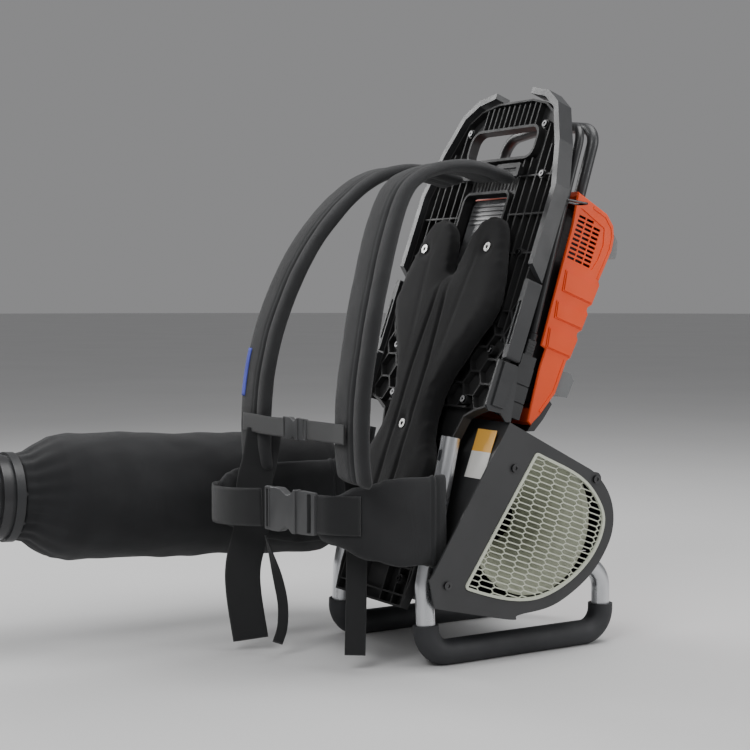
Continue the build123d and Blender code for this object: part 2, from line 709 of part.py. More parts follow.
def make_hip_belt():
    near = plan_band(NEAR_WING, 13, 160, 286, -1)
    shape = outline([(120, 286), (0, 286), (-45, 274), (-76, 250), (-90, 236), (-90, 214), (-70, 200), (-40, 176), (10, 162), (60, 160), (120, 160)])
    near = near & prism_x(shape, 0, 200)
    far = plan_band(FAR_WING, 13, 160, 286, 1)
    shape2 = outline([(120, 286), (20, 286), (-60, 286), (-110, 276), (-140, 256), (-140, 222), (-110, 196), (-60, 172), (0, 160), (120, 160)])
    far = far & prism_x(shape2, -200, 0)
    add("hip_wing_left", near)
    add("hip_wing_right", far)
    z0, z1 = 235 - WEB / 2, 235 + WEB / 2
    near_web = plan_band([(117.5, -42), (108, -53), (98, -63.5), (87, -72.4), (78, -76.6)], 1.6, z0, z1, -1)
    add("hip_web_left", near_web)
    far_web = plan_band(
        [(-136, 0), (-136, -40), (-134.5, -82), (-130, -112), (-118, -132), (-98, -138), (-70, -132),
         (-44, -120), (-26, -110.5)],
        1.6, z0, z1, 1,
    )
    add("hip_web_right", far_web)


def make_chest_strap():
    z0, z1 = 339 - CHEST_WEB / 2, 339 + CHEST_WEB / 2
    near = plan_band([(122, -70), (96, -69), (72, -70.5), (53, -71.8)], 1.4, z0, z1, -1)
    far = plan_band([(-128, -80.6), (-100, -79.8), (-70, -78.4), (-40, -76.9), (-16.5, -75.6)], 1.4, z0, z1, 1)
    add("chest_webbing", near, far)


def make_tails():
    facing = (0.53, 0.85, 0)
    near = ribbon(
        [(84, -34, 288), (78, -26, 256), (74, -22, 200), (76, -24, 150), (78, -26, 100), (79, -28, 50)],
        27, 1.8, [facing] * 6,
    )
    far = ribbon(
        [(-94, -66, 290), (-90, -84, 256), (-90, -88, 200), (-97, -97, 150), (-97, -97, 110), (-92, -89, 46)],
        WEB * 0.96, 1.8, [facing] * 6,
    )
    thin = ribbon(
        [(-66, -80, 190), (-58, -74, 160), (-48, -70, 130), (-40, -68, 100), (-38, -70, 70), (-44, -74, 48)],
        14, 1.6, [(1, -0.4, 0.1), (1, 0, 0.1), (0.8, 0.5, 0), facing, facing, (0.6, 0.8, 0)],
    )
    add("web_tails", near, far, thin)


def make_pad():
    half = [
        (0, 566), (9, 580), (17, 606), (29, 634), (46, 649), (68, 653), (88, 644), (100, 622),
        (113, 586), (123, 540), (122, 518), (104, 486), (84, 452), (66, 418), (59, 388), (63, 352),
        (74, 322), (86, 298), (82, 262), (80, 230), (60, 196), (30, 186), (0, 184),
    ]
    right = Spline(*half)
    left = Spline(*[(-x, h) for x, h in reversed(half)])
    face = make_face([*right.edges(), *left.edges()])
    pad = slab(face, -24, -2.2)
    for x, h in PAD_BOLTS:
        pad = pad - slab(Pos(x, h) * Circle(13), -30, -19.5)
        pad = pad - slab(Pos(x, h) * Circle(4.3), -30, 5)
    add("back_pad", lean(pad.solids().sort_by(SortBy.VOLUME)[-1]))


# ---- outlet elbow, hose, sleeve, pipe and handle (hose frame: y forward from the fan axis) ----
def make_outlet():
    r_bend = ELBOW_BEND
    outer = FilletPolyline(
        (BACK_X - 0.5, 0, 0), (HOSE_X, 0, 0), (HOSE_X, -r_bend - 14, 0), radius=r_bend
    )
    inner = FilletPolyline(
        (BACK_X + 6, 0, 0), (HOSE_X, 0, 0), (HOSE_X, BALL_Y - 30, 0), radius=r_bend
    )
    ball = Pos(HOSE_X, BALL_Y, 0) * Sphere(BALL_R)
    keep = block(HOSE_X - 90, HOSE_X + 90, BALL_Y - 12, -r_bend - 3, -90, 90)
    elbow = swept_tube(outer, ELBOW_R) + (ball & keep)
    elbow = elbow - swept_tube(inner, ELBOW_R - 4.0 + RUN)
    add("outlet_elbow", hose_frame(elbow.solids().sort_by(SortBy.VOLUME)[-1]))
    cuff = Sphere(BALL_R + 3.8) - Sphere(BALL_R + 0.3)
    cuff = cuff & block(-90, 90, -46, 7, -90, 90)
    neck = ring_y(59, 52, -40, -56) - Sphere(BALL_R + 0.3)
    cuff = Pos(0, BALL_Y, 0) * (cuff + neck)
    y0, y1 = BALL_Y - 55.0, -547.6
    outer = []
    inner = []
    count = 24
    pitch = (y0 - y1) / count
    for i in range(count):
        y = y0 - i * pitch
        outer.append((57.0, y - 0.1 * pitch))
        outer.append((57.0, y - 0.4 * pitch))
        outer.append((53.6, y - 0.6 * pitch))
        outer.append((53.6, y - 0.9 * pitch))
    inner = [(r - 1.6, y) for r, y in outer]
    hose = turned_y(outer + list(reversed(inner)))
    hose = (hose + cuff).solids().sort_by(SortBy.VOLUME)[-1]
    add("hose_bellows", hose_frame(Pos(HOSE_X, 0, 0) * hose))
    sleeve = turned_y([
        (86, -100), (88.5, -112), (88.5, -500), (78, -530), (60, -552), (58.5, -572),
        (56.4, -572), (57.6, -551), (76, -528), (86, -499), (86, -113), (84, -101),
    ])
    add("hose_sleeve", hose_frame(Pos(HOSE_X, 0, 0) * sleeve))
    ring = ring_y(56, 50 + RUN, -548, -590) + ring_y(60, 50 + RUN, -574, -586)
    add("hose_ring", hose_frame(Pos(HOSE_X, 0, 0) * ring))
    pipe = ring_y(50, 47.4, -556, -962) + ring_y(57, 49, -590.4, -602)
    pipe = pipe + ring_y(51.5, 49, -618, -622)
    add("front_pipe", hose_frame(Pos(HOSE_X, 0, 0) * pipe))
    nozzle = turned_y([
        (50.1, -902), (53, -902), (53, -960), (49, -1060), (44, -1240), (43, -1362),
        (45.5, -1364), (45.5, -1370), (40.4, -1370), (40.4, -1240), (46.4, -1060), (50.1, -966),
    ])
    add("nozzle", hose_frame(Pos(HOSE_X, 0, 0) * nozzle))
    make_handle()


TRIGGER = (-672.0, 116.0)     # pivot station and height over the pipe axis
CRUISE = (-650.0, 138.0)


def make_handle():
    clamp = ring_y(56, 50.05, -636, -676)
    lug = block(-12, 12, -674, -638, 52, 66)
    grip = outline([
        (-636, 58), (-676, 58), (-678, 84), (-668, 96), (-664, 134), (-682, 152), (-694, 170),
        (-686, 182), (-650, 184), (-626, 176), (-622, 150), (-632, 110),
    ])
    body = prism_x(grip, -17, 17)
    body = fillet(body.edges().filter_by(lambda e: abs(e.center().X) > 16), 4)
    pocket = block(-8.2, 8.2, -700, -655, 97, 137)
    body = body + lug - pocket - ring_y(55, 0, -600, -700)
    body = body + clamp
    y, z = TRIGGER
    hole = bar((-20, -658, 140), (20, -658, 140), 2.0 + RUN)
    lever_hole = bar((-30, CRUISE[0], 164), (30, CRUISE[0], 164), 3.0 + RUN)
    well = Pos(0, -650, 170) * extrude(Circle(7.05), amount=30)
    body = body - lever_hole - well
    pin = bar((-12, -664, 131), (12, -664, 131), 2.0)
    body = body - bar((-12, -664, 131), (12, -664, 131), 2.0 + RUN)
    add("control_handle", hose_frame(Pos(HOSE_X, 0, 0) * body.solids().sort_by(SortBy.VOLUME)[-1]))
    blade = outline([
        (-659, 134), (-668, 135), (-674, 126), (-677, 112), (-681, 101), (-677, 99.5), (-668, 104), (-662, 120),
    ])
    trigger = prism_x(blade, -7.6, 7.6) + pin
    add("throttle_trigger", hose_frame(Pos(HOSE_X, 0, 0) * trigger))
    lever = bar((-26, CRUISE[0], 164), (16, CRUISE[0], 164), 3.0)
    disc = bar((-24, CRUISE[0], 164), (-17.4, CRUISE[0], 164), 10)
    arm = block(-24, -19, CRUISE[0] - 32, CRUISE[0], 160, 168)
    add("cruise_lever", hose_frame(Pos(HOSE_X, 0, 0) * (lever + disc + arm)))
    button = Pos(0, -650, 174) * extrude(Circle(7.0), amount=14)
    add("power_button", hose_frame(Pos(HOSE_X, 0, 0) * fillet(button.edges().group_by(Axis.Z)[-1], 1)))


make_stand()
make_frame()
make_screws()
make_anchors()
make_rails()
make_cover()
make_battery()
make_cable()
make_clip()
make_housing()
make_grille()
make_fan()
make_straps()
make_buckle("hip_buckle", HIP_BUCKLE, HIP_TURN, 1.0, WEB, 27)
make_buckle("chest_buckle", CHEST_BUCKLE, CHEST_TURN, 0.55, CHEST_WEB, 15)
make_hip_belt()
make_chest_strap()
make_tails()
make_pad()
make_outlet()

for name, solids in NODES.items():
    shape = solids[0] if len(solids) == 1 else Compound(children=solids)
    export_step(shape, "parts/" + name + ".step")
    box = Compound(children=solids).bounding_box() if len(solids) > 1 else shape.bounding_box()
    print(name, len(solids), [round(v, 1) for v in (box.min.X, box.max.X, box.min.Y, box.max.Y, box.min.Z, box.max.Z)])
print(len(NODES), "pieces")
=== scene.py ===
import json
from math import cos, pi, radians, sin

import bmesh
import bpy
import numpy as np
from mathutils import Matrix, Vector, noise


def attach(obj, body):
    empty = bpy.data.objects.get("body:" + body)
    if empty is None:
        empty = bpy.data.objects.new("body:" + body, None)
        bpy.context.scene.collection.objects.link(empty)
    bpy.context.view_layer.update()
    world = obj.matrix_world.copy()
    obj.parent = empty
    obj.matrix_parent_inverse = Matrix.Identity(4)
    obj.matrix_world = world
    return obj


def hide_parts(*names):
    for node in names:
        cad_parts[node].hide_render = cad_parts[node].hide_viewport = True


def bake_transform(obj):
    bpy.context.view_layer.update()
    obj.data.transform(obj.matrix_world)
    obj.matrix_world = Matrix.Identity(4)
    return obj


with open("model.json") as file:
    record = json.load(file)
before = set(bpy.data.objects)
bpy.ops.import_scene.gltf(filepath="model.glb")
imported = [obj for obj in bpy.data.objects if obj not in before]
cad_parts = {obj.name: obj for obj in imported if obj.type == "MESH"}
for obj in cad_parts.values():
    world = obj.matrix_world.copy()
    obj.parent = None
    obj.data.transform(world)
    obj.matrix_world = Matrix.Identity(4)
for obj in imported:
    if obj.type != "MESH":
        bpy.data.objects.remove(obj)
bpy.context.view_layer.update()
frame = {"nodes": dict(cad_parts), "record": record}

# ---- frames of reference, matching the CAD model (millimetres in, metres out) ----
ORIGIN = (87.75, 396.6, -30.0)
LEAN = radians(20.0)
RISE = radians(3.0)
FAN_Y, FAN_Z = 205.0, 212.0
HOSE_X = -245.0


def W(x, y, z):
    """Layout frame to the row frame."""
    return Vector(((x + ORIGIN[0]) / 1000, (y + ORIGIN[1]) / 1000, (z + ORIGIN[2]) / 1000))


def L(x, d, h):
    """Leaning frame: across, depth, along."""
    return W(x, d * cos(LEAN) + h * sin(LEAN), -d * sin(LEAN) + h * cos(LEAN))


def H(x, y, z):
    """Hose frame, which starts at the fan axis."""
    return W(x, FAN_Y + y * cos(RISE) + z * sin(RISE), FAN_Z - y * sin(RISE) + z * cos(RISE))


def unlean(co):
    """Row-frame metres (n, 3) to leaning-frame millimetres."""
    y = co[:, 1] * 1000 - ORIGIN[1]
    z = co[:, 2] * 1000 - ORIGIN[2]
    return np.stack([
        co[:, 0] * 1000 - ORIGIN[0],
        y * cos(LEAN) - z * sin(LEAN),
        y * sin(LEAN) + z * cos(LEAN),
    ], 1)


def relean(p):
    out = np.empty_like(p)
    out[:, 0] = (p[:, 0] + ORIGIN[0]) / 1000
    out[:, 1] = (p[:, 1] * cos(LEAN) + p[:, 2] * sin(LEAN) + ORIGIN[1]) / 1000
    out[:, 2] = (-p[:, 1] * sin(LEAN) + p[:, 2] * cos(LEAN) + ORIGIN[2]) / 1000
    return out


# ---- camera, at the photograph's viewing angle ----
CAMERA_PLACE = (1813.57, -1081.64, 520.0)
CAMERA_AZIMUTH, CAMERA_PITCH = 58.0, 3.1
CAMERA_LENS, CAMERA_SENSOR = 76.8, 36.0


def add_camera():
    data = bpy.data.cameras.new("camera")
    data.sensor_width = CAMERA_SENSOR
    data.lens = CAMERA_LENS
    data.clip_end = 100
    cam = bpy.data.objects.new("camera", data)
    bpy.context.scene.collection.objects.link(cam)
    az, pitch = radians(CAMERA_AZIMUTH), radians(CAMERA_PITCH)
    forward = Vector((-sin(az) * cos(pitch), cos(az) * cos(pitch), -sin(pitch)))
    cam.location = W(*CAMERA_PLACE)
    cam.rotation_euler = forward.to_track_quat("-Z", "Y").to_euler()
    bpy.context.scene.camera = cam


add_camera()


# ---- materials ----
class Nodes:
    """Small helper round one material's node tree."""

    def __init__(self, name, color, rough=0.5, metal=0.0, **sockets):
        self.mat = bpy.data.materials.new(name)
        self.mat.use_nodes = True
        self.tree = self.mat.node_tree
        self.bsdf = self.tree.nodes["Principled BSDF"]
        self.color = tuple(color) + (1.0,)
        self.bsdf.inputs["Base Color"].default_value = self.color
        self.bsdf.inputs["Roughness"].default_value = rough
        self.bsdf.inputs["Metallic"].default_value = metal
        for key, value in sockets.items():
            self.bsdf.inputs[key.replace("_", " ")].default_value = value
        self.coord = self.node("ShaderNodeTexCoord")
        self.normal = None

    def node(self, kind, **props):
        n = self.tree.nodes.new(kind)
        for key, value in props.items():
            setattr(n, key, value)
        return n

    def link(self, a, b):
        self.tree.links.new(a, b)

    def mapped(self, scale=(1, 1, 1), uv=False, rot=(0, 0, 0)):
        m = self.node("ShaderNodeMapping")
        m.inputs["Scale"].default_value = scale
        m.inputs["Rotation"].default_value = rot
        self.link(self.coord.outputs["UV" if uv else "Object"], m.inputs["Vector"])
        return m.outputs["Vector"]

    def noise(self, scale, detail=4.0, vector=None, distortion=0.0):
        n = self.node("ShaderNodeTexNoise")
        n.inputs["Scale"].default_value = scale
        n.inputs["Detail"].default_value = detail
        n.inputs["Roughness"].default_value = 0.55
        n.inputs["Distortion"].default_value = distortion
        self.link(vector or self.coord.outputs["Object"], n.inputs["Vector"])
        return n.outputs["Fac"]

    def wave(self, scale, axis, vector, distortion=0.0):
        n = self.node("ShaderNodeTexWave", bands_direction=axis)
        n.inputs["Scale"].default_value = scale
        n.inputs["Distortion"].default_value = distortion
        self.link(vector, n.inputs["Vector"])
        return n.outputs["Fac"]

    def math(self, op, a, b):
        n = self.node("ShaderNodeMath", operation=op)
        for i, v in enumerate((a, b)):
            if isinstance(v, (int, float)):
                n.inputs[i].default_value = v
            else:
                self.link(v, n.inputs[i])
        return n.outputs[0]

    def ramp(self, fac, stops):
        n = self.node("ShaderNodeValToRGB")
        el = n.color_ramp.elements
        while len(el) < len(stops):
            el.new(0.5)
        for e, (pos, col) in zip(el, stops):
            e.position = pos
            e.color = tuple(col) + (1.0,)
        self.link(fac, n.inputs["Fac"])
        return n.outputs["Color"]

    def vary(self, fac, dark, light):
        """Base colour swings between darker and lighter versions of itself."""
        base = self.color[:3]
        lo = tuple(c * dark for c in base)
        hi = tuple(min(1.0, c * light) for c in base)
        self.link(self.ramp(fac, [(0.3, lo), (0.7, hi)]), self.bsdf.inputs["Base Color"])

    def rough_range(self, fac, lo, hi):
        n = self.node("ShaderNodeMapRange")
        n.inputs["From Min"].default_value = 0.3
        n.inputs["From Max"].default_value = 0.7
        n.inputs["To Min"].default_value = lo
        n.inputs["To Max"].default_value = hi
        self.link(fac, n.inputs["Value"])
        self.link(n.outputs["Result"], self.bsdf.inputs["Roughness"])

    def bump(self, height, strength, distance):
        b = self.node("ShaderNodeBump")
        b.inputs["Strength"].default_value = strength
        b.inputs["Distance"].default_value = distance
        self.link(height, b.inputs["Height"])
        if self.normal is not None:
            self.link(self.normal, b.inputs["Normal"])
        self.normal = b.outputs["Normal"]
        self.link(self.normal, self.bsdf.inputs["Normal"])


def moulded(name, color, rough, grain=900.0, strength=0.25, spread=0.12):
    """Injection-moulded plastic: fine spark-eroded grain, faint flow variation."""
    m = Nodes(name, color, rough)
    m.vary(m.noise(14.0, 3.0), 1 - spread, 1 + spread)
    m.rough_range(m.noise(35.0, 4.0), rough - 0.06, rough + 0.08)
    m.bump(m.noise(grain, 2.0), strength, 0.0003)
    return m.mat


def brushed(name, color, rough, axis=(1, 1, 1)):
    """Metal with fine roughness streaks; a small axis value stretches them that way."""
    m = Nodes(name, color, rough, metal=1.0)
    v = m.mapped(axis)
    m.vary(m.noise(60.0, 3.0, vector=v), 0.88, 1.1)
    m.rough_range(m.noise(90.0, 4.0, vector=v), rough - 0.07, rough + 0.1)
    m.bump(m.noise(300.0, 2.0, vector=v), 0.12, 0.0002)
    return m.mat


def cloth(name, color, weave, strength, sheen, fold=0.0):
    """Plain weave seen in object space, with soft colour drift and nap."""
    m = Nodes(name, color, 0.9, Sheen_Weight=sheen, Sheen_Roughness=0.5)
    m.bsdf.inputs["Specular IOR Level"].default_value = 0.25
    v = m.mapped((1, 1, 1), rot=(0.35, 0, 0))
    a = m.wave(weave, "X", v, 0.3)
    b = m.wave(weave, "Z", v, 0.3)
    c = m.wave(weave, "Y", v, 0.3)
    h = m.math("ADD", m.math("MULTIPLY", a, b), m.math("MULTIPLY", c, 0.5))
    if fold > 0:
        m.bump(m.noise(18.0, 3.0, distortion=0.6), fold, 0.004)
    m.bump(h, strength, 0.0005)
    m.bump(m.noise(weave * 0.8, 2.0), 0.25, 0.0003)
    m.vary(m.noise(22.0, 4.0), 0.86, 1.14)
    return m.mat


def web_cloth(name, color, rough=0.7):
    """Ribbed webbing: ribs along, picks across, from the ribbon's own UVs in metres."""
    m = Nodes(name, color, rough, Sheen_Weight=0.3, Sheen_Roughness=0.4)
    m.bsdf.inputs["Specular IOR Level"].default_value = 0.3
    v = m.mapped((1, 1, 1), uv=True)
    picks = m.wave(520.0, "Y", v)
    ribs = m.wave(330.0, "X", v)
    m.bump(m.math("ADD", picks, m.math("MULTIPLY", ribs, 0.8)), 0.55, 0.0005)
    m.bump(m.noise(900.0, 2.0), 0.2, 0.0003)
    m.vary(m.math("ADD", m.math("MULTIPLY", picks, 0.5), m.math("MULTIPLY", m.noise(30.0), 0.5)), 0.8, 1.25)
    return m.mat


LABEL_BAND_EDGE = 336.0


def label_material():
    """Plain two-band sticker: warm band above, off-white band below, nothing printed."""
    m = Nodes("plain_label", (0.80, 0.78, 0.74), 0.35)
    sep = m.node("ShaderNodeSeparateXYZ")
    m.link(m.coord.outputs["Object"], sep.inputs[0])
    rise_z = m.math("MULTIPLY", sep.outputs["Z"], cos(LEAN))
    rise_y = m.math("MULTIPLY", sep.outputs["Y"], sin(LEAN))
    edge = L(0, 0, LABEL_BAND_EDGE)
    above = m.math("GREATER_THAN", m.math("ADD", rise_z, rise_y), edge.z * cos(LEAN) + edge.y * sin(LEAN))
    m.link(m.ramp(above, [(0.4, (0.80, 0.79, 0.76)), (0.6, (0.86, 0.45, 0.08))]), m.bsdf.inputs["Base Color"])
    m.bump(m.noise(700.0, 2.0), 0.06, 0.0002)
    return m.mat


MATS = {
    "frame_plastic": moulded("frame_plastic", (0.014, 0.014, 0.0145), 0.58),
    "rail_plastic": moulded("rail_plastic", (0.034, 0.035, 0.037), 0.36),
    "grip_plastic": moulded("grip_plastic", (0.027, 0.028, 0.030), 0.45),
    "orange_plastic": moulded("orange_plastic", (0.88, 0.075, 0.003), 0.5, strength=0.1, spread=0.04),
    "case_plastic": moulded("case_plastic", (0.022, 0.022, 0.024), 0.5),
    "cell_wrap": moulded("cell_wrap", (0.05, 0.12, 0.22), 0.3),
    "circuit_board": moulded("circuit_board", (0.01, 0.08, 0.03), 0.35),
    "light_panel": moulded("light_panel", (0.13, 0.133, 0.137), 0.28, spread=0.04),
    "foot_plastic": moulded("foot_plastic", (0.15, 0.155, 0.158), 0.4, spread=0.05),
    "cable_rubber": moulded("cable_rubber", (0.022, 0.0225, 0.024), 0.34, grain=500),
    "bright_steel": brushed("bright_steel", (0.40, 0.40, 0.39), 0.34),
    "dark_screw": brushed("dark_screw", (0.09, 0.09, 0.092), 0.3),
    "tube_aluminium": brushed("tube_aluminium", (0.66, 0.67, 0.69), 0.30, (1, 0.1, 0.1)),
    "sleeve_rubber": moulded("sleeve_rubber", (0.026, 0.027, 0.030), 0.62, grain=1300, strength=0.4),
    "housing_plastic": moulded("housing_plastic", (0.036, 0.0365, 0.038), 0.44),
    "grille_plastic": moulded("grille_plastic", (0.56, 0.585, 0.485), 0.42, spread=0.04),
    "bell_plastic": moulded("bell_plastic", (0.47, 0.49, 0.39), 0.5, spread=0.05),
    "fan_plastic": moulded("fan_plastic", (0.016, 0.016, 0.017), 0.4),
    "motor_steel": brushed("motor_steel", (0.30, 0.30, 0.31), 0.35),
    "plain_label": label_material(),
    "buckle_plastic": moulded("buckle_plastic", (0.07, 0.071, 0.073), 0.38, strength=0.12),
    "hose_rubber": moulded("hose_rubber", (0.018, 0.018, 0.020), 0.45),
    "pipe_plastic": moulded("pipe_plastic", (0.026, 0.026, 0.028), 0.36, strength=0.15),
    "trigger_plastic": moulded("trigger_plastic", (0.70, 0.09, 0.015), 0.35, strength=0.12),
    "pad_fabric": cloth("pad_fabric", (0.0135, 0.0135, 0.0142), 1100.0, 0.35, 0.12, fold=0.12),
    "strap_fabric": cloth("strap_fabric", (0.026, 0.0265, 0.028), 1000.0, 0.45, 0.16),
    "hip_fabric": cloth("hip_fabric", (0.024, 0.0245, 0.026), 950.0, 0.45, 0.14, fold=0.1),
    "hose_fabric": cloth("hose_fabric", (0.018, 0.0185, 0.020), 800.0, 0.4, 0.14, fold=0.3),
    "webbing": web_cloth("webbing", (0.0165, 0.017, 0.018)),
}
TAG = cloth("tag_cloth", (0.10, 0.12, 0.55), 900.0, 0.3, 0.05)
SLOT_OF = {s["node"]: s["material_slot"] for s in frame["record"]["subparts"]}
for node, obj in frame["nodes"].items():
    for ms in obj.material_slots:
        ms.material = MATS[SLOT_OF[node]]


# ---- mesh helpers ----
def link(name, verts, faces, material, uvs=None, smooth=True):
    mesh = bpy.data.meshes.new(name)
    mesh.from_pydata([tuple(v) for v in verts], [], faces)
    if uvs is not None:
        layer = mesh.uv_layers.new(name="UVMap")
        loops = np.empty(len(mesh.loops), np.int32)
        mesh.loops.foreach_get("vertex_index", loops)
        layer.data.foreach_set("uv", np.asarray(uvs, np.float32)[loops].ravel())
    mesh.polygons.foreach_set("use_smooth", [smooth] * len(mesh.polygons))
    mesh.update()
    obj = bpy.data.objects.new(name, mesh)
    bpy.context.scene.collection.objects.link(obj)
    obj.data.materials.append(material)
    return obj


def flow(points, count):
    """Smooth Catmull-Rom curve through points, as count samples."""
    p = [Vector(q) for q in points]
    p = [p[0] * 2 - p[1]] + p + [p[-1] * 2 - p[-2]]
    out = []
    segs = len(p) - 3
    for i in range(count):
        u = i / (count - 1) * segs
        k = min(int(u), segs - 1)
        t = u - k
        a, b, c, d = p[k], p[k + 1], p[k + 2], p[k + 3]
        bend = (2 * a - 5 * b + 4 * c - d) * t * t
        out.append(0.5 * (2 * b + (c - a) * t + bend + (3 * b - a - 3 * c + d) * t ** 3))
    return out


def even(points, step):
    """Re-spaces a dense curve evenly."""
    dist = [0.0]
    for a, b in zip(points, points[1:]):
        dist.append(dist[-1] + (b - a).length)
    n = max(2, int(round(dist[-1] / step)) + 1)
    out = []
    k = 0
    for i in range(n):
        s = dist[-1] * i / (n - 1)
        while k < len(dist) - 2 and dist[k + 1] < s:
            k += 1
        f = (s - dist[k]) / max(1e-9, dist[k + 1] - dist[k])
        out.append(points[k].lerp(points[k + 1], f))
    return out


def tube_faces(rows, around):
    """Quads between rows of points that go round a tube."""
    faces = []
    for i in range(rows - 1):
        for j in range(around):
            k = (j + 1) % around
            faces.append((i * around + j, i * around + k, (i + 1) * around + k, (i + 1) * around + j))
    return faces


def loft(name, path, across, section, material, swell=None):
    """Sweeps a (u, v) outline in metres; u points across, v along tangent x across. Ends are closed."""
    n, m = len(path), len(section)
    verts, uvs = [], []
    run = 0.0
    for i, p in enumerate(path):
        t = (path[min(i + 1, n - 1)] - path[max(i - 1, 0)]).normalized()
        w = Vector(across(i / (n - 1)) if callable(across) else across)
        w = (w - t * w.dot(t)).normalized()
        v = t.cross(w)
        if i:
            run += (p - path[i - 1]).length
        k = swell(i / (n - 1)) if swell else (1.0, 1.0)
        for a, b in section:
            verts.append(p + w * a * k[0] + v * b * k[1])
            uvs.append((a, run))
    faces = tube_faces(n, m)
    faces.append(tuple(reversed(range(m))))
    faces.append(tuple(range((n - 1) * m, n * m)))
    obj = link(name, verts, faces, material, uvs)
    fix_normals(obj)
    return obj


def fix_normals(obj):
    bm = bmesh.new()
    bm.from_mesh(obj.data)
    bmesh.ops.recalc_face_normals(bm, faces=bm.faces)
    bm.to_mesh(obj.data)
    bm.free()


def join(name, objs):
    """Joins several meshes that share one body into one piece."""
    bm = bmesh.new()
    mats = []
    for o in objs:
        start = len(bm.faces)
        bm.from_mesh(o.data)
        bm.faces.ensure_lookup_table()
        for f in bm.faces[start:]:
            m = o.data.materials[f.material_index] if o.data.materials else None
            if m not in mats:
                mats.append(m)
            f.material_index = mats.index(m)
    mesh = bpy.data.meshes.new(name)
    bm.to_mesh(mesh)
    bm.free()
    for m in mats:
        mesh.materials.append(m)
    for o in objs:
        bpy.data.objects.remove(o)
    obj = bpy.data.objects.new(name, mesh)
    bpy.context.scene.collection.objects.link(obj)
    return obj


def cad_copy(node, name, material):
    """A copy of a CAD node's mesh to build a cover from; the node itself stays as it is."""
    src = frame["nodes"][node]
    mesh = src.data.copy()
    mesh.name = name
    mesh.materials.clear()
    mesh.materials.append(material)
    obj = bpy.data.objects.new(name, mesh)
    bpy.context.scene.collection.objects.link(obj)
    return obj


def apply_all(obj):
    """Replaces the mesh by what its modifiers make of it."""
    bpy.context.view_layer.update()
    dg = bpy.context.evaluated_depsgraph_get()
    made = obj.evaluated_get(dg)
    mesh = bpy.data.meshes.new_from_object(made, preserve_all_data_layers=True, depsgraph=dg)
    obj.modifiers.clear()
    old = obj.data
    obj.data = mesh
    bpy.data.meshes.remove(old)


def remesh(obj, size):
    bm = bmesh.new()
    bm.from_mesh(obj.data)
    bmesh.ops.remove_doubles(bm, verts=bm.verts, dist=1e-5)
    bm.to_mesh(obj.data)
    bm.free()
    mod = obj.modifiers.new("remesh", "REMESH")
    mod.mode = "VOXEL"
    mod.voxel_size = size
    apply_all(obj)


def coords(obj):
    co = np.empty(len(obj.data.vertices) * 3)
    obj.data.vertices.foreach_get("co", co)
    return co.reshape(-1, 3)


def set_coords(obj, co):
    obj.data.vertices.foreach_set("co", np.ascontiguousarray(co).ravel())
    obj.data.update()


def normals(obj):
    n = np.empty(len(obj.data.vertices) * 3)
    obj.data.vertices.foreach_get("normal", n)
    return n.reshape(-1, 3)


CLOTH_PRESSURE = 4.0
CLOTH_FRAMES = 20


def inflate(obj, cap, shrink=0.0):
    """Short cloth run: the cover swells over its filling, capped so it keeps its size."""
    if shrink:
        set_coords(obj, coords(obj) - normals(obj) * shrink)
    start = coords(obj)
    mod = obj.modifiers.new("cloth", "CLOTH")
    s = mod.settings
    s.quality = 5
    s.mass = 0.3
    s.tension_stiffness = 25
    s.compression_stiffness = 25
    s.shear_stiffness = 10
    s.bending_stiffness = 0.8
    s.use_pressure = True
    s.uniform_pressure_force = CLOTH_PRESSURE
    s.effector_weights.gravity = 0
    mod.collision_settings.use_collision = False
    scene = bpy.context.scene
    mod.point_cache.frame_start = 1
    mod.point_cache.frame_end = CLOTH_FRAMES
    for f in range(1, CLOTH_FRAMES + 1):
        scene.frame_set(f)
    apply_all(obj)
    scene.frame_set(1)
    move = coords(obj) - start
    length = np.linalg.norm(move, axis=1, keepdims=True)
    factor = np.minimum(1.0, cap / np.maximum(length, 1e-9))
    set_coords(obj, start + move * factor)


def smooth_mesh(obj, times):
    bm = bmesh.new()
    bm.from_mesh(obj.data)
    for _ in range(times):
        bmesh.ops.smooth_vert(
            bm, verts=bm.verts, factor=0.5, use_axis_x=True, use_axis_y=True, use_axis_z=True,
        )
    bm.to_mesh(obj.data)
    bm.free()


def shade(obj):
    obj.data.polygons.foreach_set("use_smooth", [True] * len(obj.data.polygons))
    obj.data.update()


def subdivide(obj):
    mod = obj.modifiers.new("subd", "SUBSURF")
    mod.levels = 1
    mod.render_levels = 1
    apply_all(obj)


def groove(dist, width):
    """1 on the line and fading away from it."""
    return np.exp(-(dist / width) ** 2)


def ramp_up(v, start, length):
    """0 up to start, then a straight ramp to 1."""
    return np.clip((v - start) / length, 0, 1)


def ramp_down(v, end, length):
    """A straight ramp down to 0 at end."""
    return np.clip((end - v) / length, 0, 1)


def fold_noise(co, scale, seed):
    """Soft random height for each point, the same on every run."""
    return np.array([noise.noise(Vector(c) * scale + Vector((seed, seed, seed))) for c in co])


# ---- back pad ----
PAD_VOXEL, WING_VOXEL, QUICK_VOXEL = 0.005, 0.0045, 0.008
PAD_CHANNELS_TOP, PAD_CHANNELS_LOW = 560, 190
PAD_HORNS_LOW, PAD_HORNS_TOP = 430, 640
PAD_CREASES_TOP = 470


